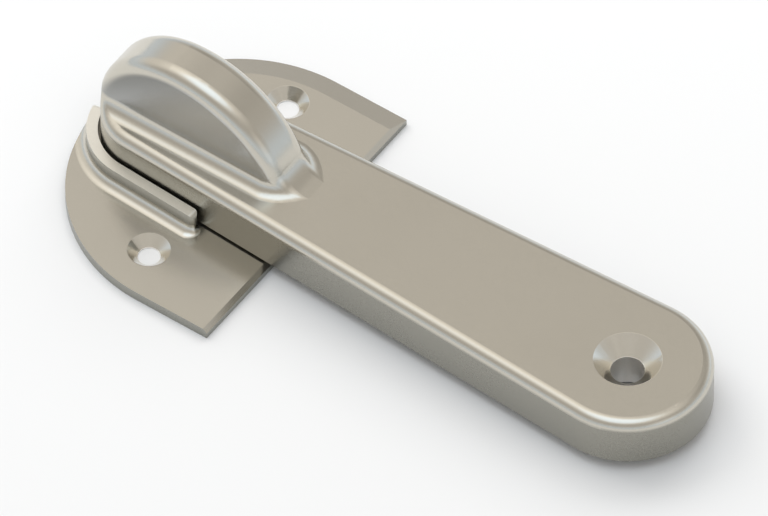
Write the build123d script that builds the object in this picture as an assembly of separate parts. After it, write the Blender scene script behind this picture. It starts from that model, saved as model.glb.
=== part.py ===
from build123d import *
from math import asin, cos, degrees, hypot, pi, sin, sqrt
import os

# Sleeper latch: a cast swinging lever that drops in beside a cast keeper plate with a J-shaped lip.
# Millimetres. The origin is midway between the keeper's two screw holes, on its mounting face.
# +X runs along the closed lever to its pivot, +Z points away from the mounting face.
# The lever opens towards +Y, the side of the keeper that has no lip.

# Lever
lever_centres = 100.0
pivot_end_radius = 15.0
tip_radius = 10.0
lever_thickness = 9.6
lever_edge_radius = 2.0
pivot_hole_diameter = 6.0
pivot_sink_diameter = 12.0
sink_angle = 90.0

# Half-moon finger grip, cast on the lever's narrow end
grip_width = 10.0
grip_length = 44.0
grip_height = 16.75
grip_crown_from_tip = 15.2
grip_front_radius = 17.3
grip_toe_radius = 6.0
grip_edge_radius = 2.7
grip_root_radius = 2.7

# Keeper plate
plate_thickness = 2.0
plate_radius = 30.0
plate_straight = 15.0
plate_arc_from_screws = 4.0
screw_spacing = 41.5
screw_hole_diameter = 4.0
screw_sink_diameter = 7.6
end_chamfer = 0.8
ramp_width = 4.0
ramp_drop = 0.8

# Lip on the keeper
lip_height = 4.0
lip_wall = 2.0
lip_straight = 17.6
lip_end_from_axis = 1.3
lip_root_radius = 2.0
nose_root_steps = 6
nose_root_sunk = 0.05

# Fits
pivot_from_screws = 87.0
lever_gap = 0.5
lip_clearance = 0.5

# Places that follow from the sizes above
pivot_x = pivot_from_screws
tip_x = pivot_x - lever_centres
tip_end_x = tip_x - tip_radius
toe_end_x = tip_end_x + grip_length
lever_under_z = plate_thickness + lever_gap
lever_top_z = lever_under_z + lever_thickness
taper = asin((pivot_end_radius - tip_radius) / lever_centres)
lip_inner = tip_radius + lip_clearance
lip_outer = lip_inner + lip_wall
lip_nose = lip_wall / 2
lip_middle = lip_inner + lip_nose
lip_front = -pi / 2 - taper
lip_near = -pi + asin((lip_end_from_axis + lip_nose) / lip_middle)

# How far apart two shapes may be and still count as touching
touching = 0.001


def between(centre, start, end):
    """Point halfway along the shorter arc about a centre, from start to end."""
    radius = hypot(start[0] - centre[0], start[1] - centre[1])
    middle = ((start[0] + end[0]) / 2 - centre[0], (start[1] + end[1]) / 2 - centre[1])
    scale = radius / hypot(middle[0], middle[1])
    return (centre[0] + middle[0] * scale, centre[1] + middle[1] * scale)


def lever_outline():
    """Two round ends joined by their common tangents."""
    along = sin(taper)
    across = cos(taper)
    tip_side = (tip_x - tip_radius * along, tip_radius * across)
    pivot_side = (pivot_x - pivot_end_radius * along, pivot_end_radius * across)
    tip_low = (tip_side[0], -tip_side[1])
    pivot_low = (pivot_side[0], -pivot_side[1])
    edges = Line(tip_side, pivot_side)
    edges += ThreePointArc(pivot_side, (pivot_x + pivot_end_radius, 0), pivot_low)
    edges += Line(pivot_low, tip_low)
    edges += ThreePointArc(tip_low, (tip_end_x, 0), tip_side)
    return make_face(edges)


def grip_profile():
    """Side view of the half-moon grip: front arc, back arc and a hollow toe that runs out on the lever."""
    crown = (tip_end_x + grip_crown_from_tip, lever_top_z + grip_height)
    toe_end = (toe_end_x, lever_top_z)
    toe_centre = (toe_end_x, lever_top_z + grip_toe_radius)
    front_rise = sqrt(grip_front_radius**2 - (grip_crown_from_tip - grip_front_radius) ** 2)
    front_centre = (tip_end_x + grip_front_radius, crown[1] - front_rise)
    front_foot = (tip_end_x, front_centre[1])
    inward = ((front_centre[0] - crown[0]) / grip_front_radius, -front_rise / grip_front_radius)
    reach = (crown[0] - toe_centre[0], crown[1] - toe_centre[1])
    back_radius = (reach[0] ** 2 + reach[1] ** 2 - grip_toe_radius**2) / (
        2 * (grip_toe_radius - reach[0] * inward[0] - reach[1] * inward[1])
    )
    back_centre = (crown[0] + inward[0] * back_radius, crown[1] + inward[1] * back_radius)
    share = back_radius / (back_radius + grip_toe_radius)
    toe_start = (
        back_centre[0] + (toe_centre[0] - back_centre[0]) * share,
        back_centre[1] + (toe_centre[1] - back_centre[1]) * share,
    )
    root_z = lever_top_z - 2 * grip_edge_radius
    edges = ThreePointArc(front_foot, between(front_centre, front_foot, crown), crown)
    edges += ThreePointArc(crown, between(back_centre, crown, toe_start), toe_start)
    edges += ThreePointArc(toe_start, between(toe_centre, toe_start, toe_end), toe_end)
    edges += Line(toe_end, (toe_end_x, root_z))
    edges += Line((toe_end_x, root_z), (tip_end_x, root_z))
    edges += Line((tip_end_x, root_z), front_foot)
    return Plane.XZ * make_face(edges)


def lies_in(shape, low, high):
    """True for a shape that lies between two corners."""
    box = shape.bounding_box()
    is_above = all(wanted - touching <= found for wanted, found in zip(low, box.min))
    is_below = all(wanted + touching >= found for wanted, found in zip(high, box.max))
    return is_above and is_below


def grip():
    """The grip with a rounded rim."""
    body = extrude(grip_profile(), grip_width / 2, both=True)
    return fillet(body.edges().filter_by(GeomType.CIRCLE), grip_edge_radius)


def grip_on_bar():
    """The grip's root is rounded on a slab wider than the lever, and the lever's outline trims both."""
    under = Pos(0, 0, lever_under_z)
    slab = under * extrude(offset(lever_outline(), 2 * grip_root_radius), lever_thickness)
    trim = under * extrude(lever_outline(), lever_thickness + 2 * grip_height)
    body = slab + grip()
    low = (tip_end_x, -grip_width / 2, lever_top_z)
    high = (toe_end_x - grip_edge_radius, grip_width / 2, lever_top_z)
    foot = [edge for edge in body.edges() if lies_in(edge, low, high)]
    return fillet(foot, grip_root_radius) & trim


def lever():
    """Tapered bar and grip, with the upper edge rounded all round the outline, and the pivot hole."""
    body = grip_on_bar()
    upper_edges = []
    lowest = lever_top_z - touching
    for face in body.faces():
        box = face.bounding_box()
        is_wall = box.min.Z < lowest and box.size.Z > touching
        if is_wall:
            upper_edges += [edge for edge in face.edges() if edge.bounding_box().min.Z > lowest]
    body = fillet(upper_edges, lever_edge_radius)
    top = Plane.XY.offset(lever_top_z) * Pos(pivot_x, 0)
    body -= top * CounterSinkHole(
        pivot_hole_diameter / 2, pivot_sink_diameter / 2, lever_thickness, sink_angle
    )
    return body


def plate_outline():
    """Half-round end, two straight sides and a square end."""
    arc_x = plate_arc_from_screws
    end_x = arc_x + plate_straight
    edges = Line((arc_x, plate_radius), (end_x, plate_radius))
    edges += Line((end_x, plate_radius), (end_x, -plate_radius))
    edges += Line((end_x, -plate_radius), (arc_x, -plate_radius))
    edges += ThreePointArc((arc_x, -plate_radius), (arc_x - plate_radius, 0), (arc_x, plate_radius))
    return make_face(edges)


def ramp_cutter():
    """Wedge that slopes the plate's rim where the lever slides on: along +Y, then round to -X."""
    inner = plate_radius - ramp_width
    outer = plate_radius + ramp_width
    corners = [
        (inner, plate_thickness),
        (outer, plate_thickness - 2 * ramp_drop),
        (outer, plate_thickness + ramp_width),
        (inner, plate_thickness + ramp_width),
    ]
    section = Plane.YZ.offset(plate_arc_from_screws) * make_face(Polyline(*corners, close=True))
    side = extrude(section, 2 * plate_straight)
    bend = revolve(section, Axis((plate_arc_from_screws, 0, 0), (0, 0, 1)), 90)
    return side + bend


def upright(centre, angle):
    """Upright plane through a point of the plate's top: x points outwards at the angle, y is up."""
    outward = Vector(cos(angle), sin(angle), 0)
    sideways = outward.cross(Vector(0, 0, 1))
    return Plane(origin=(centre[0], centre[1], plate_thickness), x_dir=outward, z_dir=sideways)


def round_tip(radius, angle):
    """Point at a distance and a direction from the centre of the lever's tip."""
    return (tip_x + radius * cos(angle), radius * sin(angle))


def beside_lever(radius, along):
    """Point at a distance from the tip's centre square to the lever's front side, then along that side."""
    start = round_tip(radius, lip_front)
    return (start[0] + along * cos(taper), start[1] - along * sin(taper))


def lip_plan():
    """J seen from above: round the lever's tip, then straight beside the lever, with full round ends."""
    centre = (tip_x, 0)
    near_inner = round_tip(lip_inner, lip_near)
    near_outer = round_tip(lip_outer, lip_near)
    near_middle = round_tip(lip_middle, lip_near)
    near_end = (near_middle[0] + lip_nose * sin(lip_near), near_middle[1] - lip_nose * cos(lip_near))
    turn_inner = round_tip(lip_inner, lip_front)
    turn_outer = round_tip(lip_outer, lip_front)
    far_inner = beside_lever(lip_inner, lip_straight - lip_nose)
    far_outer = beside_lever(lip_outer, lip_straight - lip_nose)
    edges = ThreePointArc(near_inner, between(centre, near_inner, turn_inner), turn_inner)
    edges += Line(turn_inner, far_inner)
    edges += ThreePointArc(far_inner, beside_lever(lip_middle, lip_straight), far_outer)
    edges += Line(far_outer, turn_outer)
    edges += ThreePointArc(turn_outer, between(centre, turn_outer, near_outer), near_outer)
    edges += ThreePointArc(near_outer, near_end, near_inner)
    return make_face(edges)


def nose_rounder(plane):
    """What is taken off an end of the lip to round it over from the side."""
    low = lip_height - lip_nose
    high = lip_height + lip_wall
    edges = CenterArc((0, low), lip_nose, 0, 90)
    edges += Line((0, lip_height), (0, high))
    edges += Line((0, high), (lip_wall, high))
    edges += Line((lip_wall, high), (lip_wall, low))
    edges += Line((lip_wall, low), (lip_nose, low))
    return extrude(plane * make_face(edges), lip_wall, both=True)


def lip():
    """The wall, with both ends rounded over."""
    wall = Pos(0, 0, plate_thickness) * extrude(lip_plan(), lip_height)
    wall -= nose_rounder(upright(beside_lever(lip_middle, lip_straight - lip_nose), -taper))
    wall -= nose_rounder(upright(round_tip(lip_middle, lip_near), lip_near - pi / 2))
    return wall


def root_section(wall_at, width, height, sunk):
    """Hollow root fillet in section: x is the distance from an axis inside the wall, y is up."""
    start = wall_at - sunk
    foot = wall_at + width
    back = start - lip_wall / 4
    below = -plate_thickness / 2
    edges = EllipticalCenterArc((foot, height), foot - start, height, start_angle=180, arc_size=90)
    edges += Line((foot, 0), (foot, below))
    edges += Line((foot, below), (back, below))
    edges += Line((back, below), (back, height))
    edges += Line((back, height), (start, height))
    return make_face(edges)


def nose_root(centre, angle, turn):
    """Root fillet that shrinks to nothing as it goes round an end of the lip."""
    sections = []
    for step in range(nose_root_steps + 1):
        share = step / nose_root_steps
        width = lip_root_radius * (1 - share) - nose_root_sunk * share
        height = lip_root_radius * (1 - share**3) + nose_root_sunk * share
        section = root_section(lip_nose, width, height, 2 * nose_root_sunk * share)
        sections.append(upright(centre, angle + turn * share * pi) * section)
    return loft(sections)


def lip_root():
    """Fillet at the foot of the lip's outer side, one solid for each stretch."""
    section = root_section(lip_outer, lip_root_radius, lip_root_radius, 0)
    turning = upright((tip_x, 0), lip_front) * section
    straight = extrude(turning, lip_nose - lip_straight)
    bend = revolve(turning, Axis((tip_x, 0, 0), (0, 0, 1)), degrees(lip_near - lip_front))
    far_nose = beside_lever(lip_middle, lip_straight - lip_nose)
    near_nose = round_tip(lip_middle, lip_near)
    return [straight, bend, nose_root(far_nose, lip_front, 1), nose_root(near_nose, lip_near, -1)]


def keeper_plate():
    """Plate with its ramp, chamfered end and screw holes, and the lip with its root fillet."""
    plate = extrude(plate_outline(), plate_thickness)
    end_edge = plate.edges().filter_by(Axis.Y).group_by(Axis.Z)[-1]
    plate = chamfer(end_edge, end_chamfer)
    plate -= ramp_cutter()
    rim = extrude(plate_outline(), plate_thickness + lip_height)
    body = plate + lip()
    for root in lip_root():
        body += root & rim
    for y in (-screw_spacing / 2, screw_spacing / 2):
        body -= Pos(0, y, plate_thickness) * CounterSinkHole(
            screw_hole_diameter / 2, screw_sink_diameter / 2, plate_thickness, sink_angle
        )
    return body


if __name__ == "__main__":
    os.makedirs("parts", exist_ok=True)
    nodes = {"keeper_plate": keeper_plate(), "lever": lever()}
    for name, solid in nodes.items():
        export_step(solid, f"parts/{name}.step")
        print(name, round(solid.volume, 1), solid.is_valid, len(solid.solids()), len(solid.faces()))
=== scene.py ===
# %% [markdown]
# # Sleeper latch
#
# A sleeper latch is two satin metal castings. The keeper is a flat plate with a J-shaped lip, screwed to the
# door frame. The lever is a tapered bar that swings on one screw and drops in beside the lip, and its
# half-moon grip is there for a finger and a thumb. The solids come from the CAD model, where every size and
# every rounded edge is already right, so the scene adds no shapes to them. It has three jobs: a camera where
# the photographer stood, a soft studio round the latch, and a metal that looks cast and tumbled instead of
# merely grey.

from math import cos, radians, sin

import bmesh
import bpy
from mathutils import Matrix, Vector

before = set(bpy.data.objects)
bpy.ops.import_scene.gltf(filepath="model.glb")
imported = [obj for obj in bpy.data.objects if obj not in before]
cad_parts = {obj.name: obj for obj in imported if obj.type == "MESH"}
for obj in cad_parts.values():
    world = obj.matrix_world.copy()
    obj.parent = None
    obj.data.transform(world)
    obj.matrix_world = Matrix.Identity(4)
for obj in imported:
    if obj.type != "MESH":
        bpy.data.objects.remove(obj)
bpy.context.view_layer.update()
scene = bpy.context.scene

# %% [markdown]
# ## Camera
#
# The photograph is a parallel view: edges that are parallel on the latch stay parallel in the picture. A very
# long lens far away comes close to that, and it stays a perspective camera, so that it can still be moved
# round the latch and fit the whole of it in the frame. The direction is given as an angle round the latch
# and an angle above the floor, and the point that it looks at is a little right of the lever's middle.

# %% Camera
SENSOR_WIDTH = 36.0
LENS = 1000.0
FRAME_WIDTH = 0.1331
CAMERA_TURN = 35.37
CAMERA_RISE = 49.62
LOOK_AT = Vector((0.0394, -0.0056, 0.0120))
NEAREST = 0.1
FARTHEST = 20


def direction(turn, rise):
    """Unit vector by its angle round the latch, 0 in front and 90 at the pivot end, and above the floor."""
    turn, rise = radians(turn), radians(rise)
    return Vector((sin(turn) * cos(rise), -cos(turn) * cos(rise), sin(rise)))


towards_camera = direction(CAMERA_TURN, CAMERA_RISE)
camera_distance = FRAME_WIDTH * LENS / SENSOR_WIDTH
camera = bpy.data.objects.new("camera", bpy.data.cameras.new("camera"))
scene.collection.objects.link(camera)
camera.data.lens = LENS
camera.data.sensor_width = SENSOR_WIDTH
camera.data.clip_start = NEAREST
camera.data.clip_end = FARTHEST
camera.location = LOOK_AT + towards_camera * camera_distance
camera.rotation_mode = "QUATERNION"
camera.rotation_quaternion = (-towards_camera).to_track_quat("-Z", "Y")
scene.camera = camera
scene.view_settings.view_transform = "Standard"
print("camera distance:", round(camera_distance, 3), "m")

# %% [markdown]
# ## Shader maths
#
# Node trees are easier to read as formulas. This small class holds one socket, and + - * on it add Math
# nodes, so a mask can be written as 1 - edge * 0.5. Every other node is made by the same method, which takes
# the node's type, what goes into its sockets, and its settings.


# %% A socket that can be calculated with
class Value:
    """One output of a shader tree, with arithmetic."""

    def __init__(self, tree, socket=None):
        self.tree = tree
        self.socket = socket

    def node(self, kind, inputs=None, output=0, stops=(), **settings):
        """Add a node: its settings and ramp stops first, then each input as a number or as a link."""
        made = self.tree.nodes.new("ShaderNode" + kind)
        for name, setting in settings.items():
            setattr(made, name, setting)
        for count, (place, level) in enumerate(stops):
            if count > 1:
                made.color_ramp.elements.new(place)
            made.color_ramp.elements[count].position = place
            made.color_ramp.elements[count].color = (level, level, level, 1)
        for name, value in (inputs or {}).items():
            if isinstance(value, Value):
                self.tree.links.new(value.socket, made.inputs[name])
            else:
                made.inputs[name].default_value = value
        return Value(self.tree, made.outputs[output] if made.outputs else None)

    def maths(self, operation, first, second):
        return self.node("Math", {0: first, 1: second}, operation=operation)

    def __add__(self, other):
        return self.maths("ADD", self, other)

    def __radd__(self, other):
        return self.maths("ADD", other, self)

    def __sub__(self, other):
        return self.maths("SUBTRACT", self, other)

    def __rsub__(self, other):
        return self.maths("SUBTRACT", other, self)

    def __mul__(self, other):
        return self.maths("MULTIPLY", self, other)

    def __rmul__(self, other):
        return self.maths("MULTIPLY", other, self)

    def smooth(self, low, high):
        """0 up to low, 1 from high, and a soft step between."""
        inputs = {"Value": self, "From Min": low, "From Max": high}
        return self.node("MapRange", inputs, interpolation_type="SMOOTHSTEP")

    def blend(self, first, second):
        """The first colour where this is 0, the second where it is 1."""
        return self.node("Mix", {0: self, 6: first, 7: second}, output=2, data_type="RGBA")


def new_tree(owner, output):
    """Empty the tree of a world or a material, and give the coordinate that its formulas start from."""
    owner.use_nodes = True
    owner.node_tree.nodes.clear()
    return Value(owner.node_tree).node("TexCoord", output=output)


# %% [markdown]
# ## Studio
#
# Metal has almost no colour of its own: what shows in it is the room. A photographer would hang a large cool
# diffuser over the latch, put a panel at its left and another low at its right, and leave the wall behind it
# dark above and pale below. A rounded edge then carries a cream streak, a dark one and a pale one side by
# side. The same room is made here as a world whose brightness depends only on direction: a ramp by height,
# with soft round panels added to it or taken off. Panels in the world have no hard rim and cost no samples.
#
# The ramp holds half levels, because a ramp's colours stop at 1. The light is cool near the floor and
# overhead and warm between them.

# %% World
ROOM_LEVEL = 0.67
COOL = (0.90, 1.0, 1.12, 1)
WARM = (1.04, 1.0, 0.94, 1)
COOL_BELOW = 0.1
WARM_ABOVE = 0.5
HALF_LEVELS = [
    (0.0, 0.65),
    (0.17, 0.64),
    (0.34, 0.50),
    (0.50, 0.43),
    (0.64, 0.44),
    (0.77, 0.56),
    (0.87, 0.71),
    (1.0, 0.88),
]
# Turn, rise, degrees from the middle to where the panel is full and to where it ends, and what it adds.
PANELS = {
    "overhead": (10, 77, 10, 31, 0.75),
    "left": (-98, 46, 12, 42, 0.45),
    "right": (77, 17, 3, 22, 0.3),
    "back wall": (180, 50, 10, 40, -0.35),
    "back glow": (178, 18, 8, 36, 0.35),
}

world = bpy.data.worlds.new("studio")
scene.world = world
looking = new_tree(world, "Generated")
height = looking.node("SeparateXYZ", {0: looking}, output=2)


def panel(turn, rise, core, rim):
    """Soft round panel: 1 within core degrees of its middle, 0 beyond rim degrees."""
    inputs = {0: looking, 1: direction(turn, rise)}
    facing = looking.node("VectorMath", inputs, output=1, operation="DOT_PRODUCT")
    return facing.smooth(cos(radians(rim)), cos(radians(core)))


panels = {}
level = height.node("ValToRGB", {0: height}, stops=HALF_LEVELS) * 2
for name, (turn, rise, core, rim, gain) in PANELS.items():
    panels[name] = panel(turn, rise, core, rim)
    level = level + panels[name] * gain
near_floor = 1 - height.smooth(COOL_BELOW, WARM_ABOVE)
tint = panels["overhead"].blend(near_floor.blend(WARM, COOL), COOL)
studio = level.node("Background", {"Color": tint, "Strength": level * ROOM_LEVEL})
studio.node("OutputWorld", {"Surface": studio})
print("panels:", len(panels), "world nodes:", len(world.node_tree.nodes))

# %% [markdown]
# ## Floor
#
# The latch lies on a plain white table top. It is a real surface, lit by the same room, so the soft shadow
# under the raised end of the lever and round the keeper comes by itself, and the lever's upright sides
# mirror that shaded strip. The table lies a hair below the keeper's back, so that no two faces share a plane.

# %% Table top
FLOOR_SIZE = 6.0
FLOOR_SINK = 0.00002
FLOOR_WHITE = (0.80, 0.80, 0.80, 1)

floor_mesh = bpy.data.meshes.new("floor")
shape = bmesh.new()
bmesh.ops.create_grid(shape, x_segments=1, y_segments=1, size=FLOOR_SIZE / 2)
bmesh.ops.translate(shape, verts=shape.verts, vec=(0, 0, -FLOOR_SINK))
shape.to_mesh(floor_mesh)
shape.free()
floor = bpy.data.objects.new("floor", floor_mesh)
scene.collection.objects.link(floor)
paint = bpy.data.materials.new("table_white")
place = new_tree(paint, "Object")
surface = place.node("BsdfDiffuse", {"Color": FLOOR_WHITE})
place.node("OutputMaterial", {"Surface": surface})
floor_mesh.materials.append(paint)
print("floor:", FLOOR_SIZE, "m wide")

# %% [markdown]
# ## Lamps
#
# Two large diffusers stand at the left, one behind the latch and one beside it. They give the shadow its
# direction, towards the camera and the pivot end. They are kept out of the reflections, where they would be
# hot patches on the flat tops: photographers turn a lamp until its patch is off the metal, and here the lamp
# has a switch for it.

# %% Lamps
LAMP_SIZE = 0.5
LAMP_DISTANCE = 0.8
LAMP_POWER = 1.7


def lamp(name, turn, rise):
    """Square diffuser that looks at the latch from a direction."""
    away = direction(turn, rise)
    made = bpy.data.objects.new(name, bpy.data.lights.new(name, "AREA"))
    scene.collection.objects.link(made)
    made.data.size = LAMP_SIZE
    made.data.energy = LAMP_POWER
    made.location = LOOK_AT + away * LAMP_DISTANCE
    made.rotation_mode = "QUATERNION"
    made.rotation_quaternion = (-away).to_track_quat("-Z", "Y")
    made.visible_glossy = False
    print(name, "lamp at", [round(x, 2) for x in made.location])


lamp("back", -165, 45)
lamp("left", -100, 45)

# %% [markdown]
# ## Satin metal
#
# Both castings were tumbled, so they are evenly satin, but not every place looks the same. The upright sides
# are a little duller than the tops and the rounded edges, and their darker grey is painted shade. Fingers
# hold the grip's middle and its toe, and the grip is a little smoother; its sides are painted paler towards
# the toe, painted light, and darker next to the tip, painted shade. The lever scuffs the lip, which makes it
# duller, and the lip's much paler colour is painted light. The countersinks were cut afterwards and show
# turning rings, and their pale bare metal is partly painted light; the bores through them were reamed, duller
# and painted nearly white, painted light in the shaded hole. Each of these places is a mask made from the
# position, from the distance to a hole's axis or from how far the surface faces up.
#
# Three patterns keep it from looking like grey plastic: a fine grain that breaks up the reflections, a slow
# waviness left by the mould, and patches where the gloss changes. They are noise on Object coordinates in
# metres, so they have the same size on both pieces and stay put when the lever swings.

# %% Numbers of the metal
# The countersinks' pale colour is partly bare cut metal and partly painted light; the bores' nearly white
# colour is painted light in a shaded hole.
BARE_AND_LIT_METAL = (0.70, 0.67, 0.60, 1)
LIT_BORE_METAL = (0.97, 0.94, 0.89, 1)
FINISHES = {
    "keeper_plate": {
        "top": (0.62, 0.59, 0.52, 1),
        # The upright sides' darker grey is painted shade.
        "side": (0.36, 0.355, 0.32, 1),
        # On the lip the paler top and sides are painted light; the lip's duller roughness is wear.
        "painted_raised_top": (0.96, 0.93, 0.85, 1),
        "painted_raised_side": (0.60, 0.60, 0.57, 1),
        "tip_side": (0.60, 0.60, 0.57, 1),
        "rubbed_and_painted_above": 0.0035,
        "rubbed_roughness": 0.16,
        "hole": (0.0, 0.02075, 0.0),
        "sink_radius": 0.0038,
        "bore_radius": 0.002,
        "shift": 0.0,
    },
    "lever": {
        "top": (0.58, 0.55, 0.48, 1),
        # The upright sides' darker grey is painted shade.
        "side": (0.345, 0.333, 0.293, 1),
        # On the grip the sides are painted light towards the toe and painted shade next to the tip.
        "painted_raised_top": (0.59, 0.56, 0.49, 1),
        "painted_raised_side": (0.56, 0.565, 0.56, 1),
        "tip_side": (0.235, 0.235, 0.22, 1),
        "rubbed_and_painted_above": 0.0125,
        "rubbed_roughness": -0.03,
        "hole": (0.087, 0.0, 0.0),
        "sink_radius": 0.006,
        "bore_radius": 0.003,
        "shift": 0.3,
    },
}

# How far a face looks up where the tops' colour and smoothness begin and where they are full; below, the
# sides carry painted shade.
FACING_UP = (0.02, 0.3)
# The paler, painted light part of the grip's sides begins at a slanting line, which moves along by the next
# number for each metre up; towards the tip the sides carry painted shade.
PALE_TOE = (-0.047, -0.027)
PALE_TOE_SLANT = 1.3
RUBBED_AND_PAINTED_FADE = 0.002
HOLE_FADE = 0.0001

GRAIN = {"Scale": 3600, "Detail": 2, "Roughness": 0.6}
MOULD = {"Scale": 240, "Detail": 3, "Roughness": 0.5}
TOUCH = {"Scale": 55, "Detail": 4, "Roughness": 0.55}
RING_SCALE = 2000

DARKEST = 0.93
TOUCH_SHADE = 0.04
GRAIN_SHADE = 0.10

SATIN_ROUGHNESS = 0.165
TOUCH_ROUGHNESS = 0.06
GRAIN_ROUGHNESS = 0.05
SIDE_ROUGHNESS = 0.06
CUT_ROUGHNESS = -0.04
REAMED_ROUGHNESS = 0.12

GRAIN_HEIGHT = 0.35
MOULD_HEIGHT = 0.65
RING_HEIGHT = 0.15
SIDE_RELIEF = 0.5
RUBBED_RELIEF = 0.5
RELIEF_STRENGTH = 0.5
RELIEF_HEIGHT = 0.00002
print("castings:", sorted(FINISHES))

# %% [markdown]
# ## The metal's shader
#
# The masks come first, then the patterns, and the last lines say how both set the colour, the roughness and
# the relief. The keeper's two holes lie at the same distance on both sides of its middle, so one mask serves
# both: the absolute value of the place folds one half of the casting onto the other.


# %% Metal
def satin_metal(name, finish):
    """Cast metal with a satin surface, from the numbers of one casting."""
    material = bpy.data.materials.new(name)
    place = new_tree(material, "Object")
    along = place.node("SeparateXYZ", {0: place}, output=0)
    height = place.node("SeparateXYZ", {0: place}, output=2)
    upward = place.node("SeparateXYZ", {0: place.node("TexCoord", output="Normal")}, output=2)

    folded = place.node("VectorMath", {0: place}, operation="ABSOLUTE")
    from_hole = place.node("VectorMath", {0: folded, 1: finish["hole"]}, operation="SUBTRACT")
    from_axis = place.node("VectorMath", {0: from_hole, 1: (1, 1, 0)}, operation="MULTIPLY")
    distance = place.node("VectorMath", {0: from_axis}, output=1, operation="LENGTH")
    is_cut = 1 - distance.smooth(finish["sink_radius"], finish["sink_radius"] + HOLE_FADE)
    is_bore = 1 - distance.smooth(finish["bore_radius"], finish["bore_radius"] + HOLE_FADE)
    # Faces that look up get the tops' colour; the sides' darker grey is painted shade.
    faces_up = upward.smooth(*FACING_UP)
    is_side = 1 - faces_up
    # Above a height, on the keeper's lip and the lever's grip: roughness from wear, and colour that is
    # painted light and shade.
    is_rubbed_and_painted = height.smooth(finish["rubbed_and_painted_above"], finish["rubbed_and_painted_above"] + RUBBED_AND_PAINTED_FADE)
    # On the grip's sides: painted light towards the toe, painted shade next to the tip.
    is_pale_toe_end = (along - height * PALE_TOE_SLANT).smooth(*PALE_TOE)

    shift = (finish["shift"], -finish["shift"], finish["shift"])
    moved = place.node("Mapping", {"Vector": place, "Location": shift})
    grain = place.node("TexNoise", {"Vector": moved, **GRAIN})
    mould = place.node("TexNoise", {"Vector": moved, **MOULD})
    touch = place.node("TexNoise", {"Vector": moved, **TOUCH})
    inputs = {"Vector": from_axis, "Scale": RING_SCALE}
    rings = place.node("TexWave", inputs, output=1, wave_type="RINGS", rings_direction="Z")

    painted_raised_side = is_pale_toe_end.blend(finish["tip_side"], finish["painted_raised_side"])
    top_and_shaded_side = faces_up.blend(finish["side"], finish["top"])
    painted_raised_colour = faces_up.blend(painted_raised_side, finish["painted_raised_top"])
    # Cut metal that is partly painted light, and a bore that is painted light.
    machined_and_lit = is_bore.blend(BARE_AND_LIT_METAL, LIT_BORE_METAL)
    colour = is_cut.blend(is_rubbed_and_painted.blend(top_and_shaded_side, painted_raised_colour), machined_and_lit)
    speckle = DARKEST + touch * TOUCH_SHADE + grain * GRAIN_SHADE
    colour = colour.node("HueSaturation", {"Color": colour, "Value": speckle})

    roughness = SATIN_ROUGHNESS + touch * TOUCH_ROUGHNESS + grain * GRAIN_ROUGHNESS
    roughness = roughness + is_side * SIDE_ROUGHNESS + is_rubbed_and_painted * finish["rubbed_roughness"]
    roughness = roughness + is_cut * CUT_ROUGHNESS + is_bore * REAMED_ROUGHNESS

    cast_relief = grain * GRAIN_HEIGHT + mould * MOULD_HEIGHT
    cast_relief = cast_relief * (1 - is_rubbed_and_painted * RUBBED_RELIEF) * (1 - is_side * SIDE_RELIEF)
    relief = cast_relief * (1 - is_cut) + rings * is_cut * RING_HEIGHT
    inputs = {"Height": relief, "Strength": RELIEF_STRENGTH, "Distance": RELIEF_HEIGHT}
    bump = relief.node("Bump", inputs)

    inputs = {"Base Color": colour, "Metallic": 1.0, "Roughness": roughness, "Normal": bump}
    surface = colour.node("BsdfPrincipled", inputs)
    surface.node("OutputMaterial", {"Surface": surface})
    return material


for name, node in sorted(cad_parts.items()):
    material = satin_metal(name + "_satin", FINISHES[name])
    for metal_slot in node.material_slots:
        metal_slot.material = material
    print(name, "has", material.name, "with", len(material.node_tree.nodes), "nodes")
